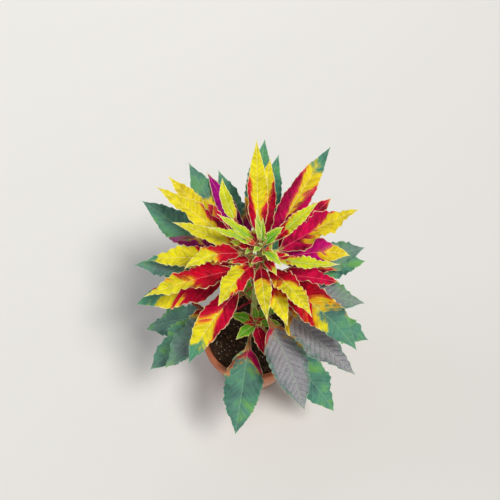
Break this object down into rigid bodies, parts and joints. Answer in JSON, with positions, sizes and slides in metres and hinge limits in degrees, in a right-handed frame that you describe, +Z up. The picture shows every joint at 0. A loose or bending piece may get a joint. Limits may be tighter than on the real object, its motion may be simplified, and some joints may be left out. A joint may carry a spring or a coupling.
{
  "type": "potted josephs coat",
  "caption": "Upright amaranth plant in a plain clay pot, with a crown of long pointed red and yellow leaves above green leaves on long stalks.",
  "frame": {"origin": "middle of the pot's foot, on the surface that the pot stands on", "axes": "+Z up along the stem; -Y is the side of the crown that faces the viewer"},
  "size_m": [0.4335, 0.4332, 0.5643],
  "materials": {
    "clay": "matte",
    "potting_soil": "matte",
    "stem_skin": "satin",
    "young_leaf": "satin",
    "yellow_leaf": "satin",
    "red_leaf": "satin",
    "green_leaf": "satin",
    "shoot_leaf": "satin"
  },
  "bodies": {
    "root": {"pot": "clay", "soil": "potting_soil", "stem": "stem_skin", "growing_tip": "young_leaf", "crown_leaf_01": "yellow_leaf", "crown_leaf_02": "yellow_leaf", "crown_leaf_03": "yellow_leaf", "crown_leaf_04": "yellow_leaf", "crown_leaf_05": "yellow_leaf", "crown_leaf_06": "yellow_leaf", "crown_leaf_07": "yellow_leaf", "crown_leaf_08": "yellow_leaf", "crown_leaf_09": "yellow_leaf", "crown_leaf_10": "yellow_leaf", "crown_leaf_11": "yellow_leaf", "crown_leaf_12": "yellow_leaf", "crown_leaf_13": "yellow_leaf", "crown_leaf_14": "yellow_leaf", "crown_leaf_15": "red_leaf", "crown_leaf_16": "red_leaf", "crown_leaf_17": "red_leaf", "crown_leaf_18": "red_leaf", "crown_leaf_19": "red_leaf", "crown_leaf_20": "red_leaf", "crown_leaf_21": "red_leaf", "crown_leaf_22": "red_leaf", "crown_leaf_23": "red_leaf", "crown_leaf_24": "red_leaf", "crown_leaf_25": "green_leaf", "crown_leaf_26": "green_leaf", "crown_leaf_27": "green_leaf", "crown_leaf_28": "green_leaf", "crown_leaf_29": "green_leaf", "crown_leaf_30": "green_leaf", "crown_leaf_31": "green_leaf", "crown_leaf_32": "green_leaf", "crown_leaf_33": "green_leaf", "crown_leaf_34": "green_leaf", "lower_leaf_01": "green_leaf", "lower_leaf_02": "green_leaf", "lower_leaf_03": "green_leaf", "lower_leaf_04": "green_leaf", "lower_leaf_05": "green_leaf", "lower_leaf_06": "green_leaf", "lower_leaf_07": "green_leaf", "lower_leaf_08": "green_leaf", "lower_leaf_09": "green_leaf", "lower_leaf_10": "green_leaf", "lower_leaf_11": "green_leaf", "lower_leaf_12": "green_leaf", "side_shoot_01": "shoot_leaf", "side_shoot_02": "shoot_leaf", "side_shoot_03": "shoot_leaf", "axil_tuft_01": "young_leaf", "axil_tuft_02": "young_leaf", "axil_tuft_03": "young_leaf", "axil_tuft_04": "young_leaf", "axil_tuft_05": "young_leaf", "axil_tuft_06": "young_leaf", "axil_tuft_07": "young_leaf"}
  },
  "joints": []
}
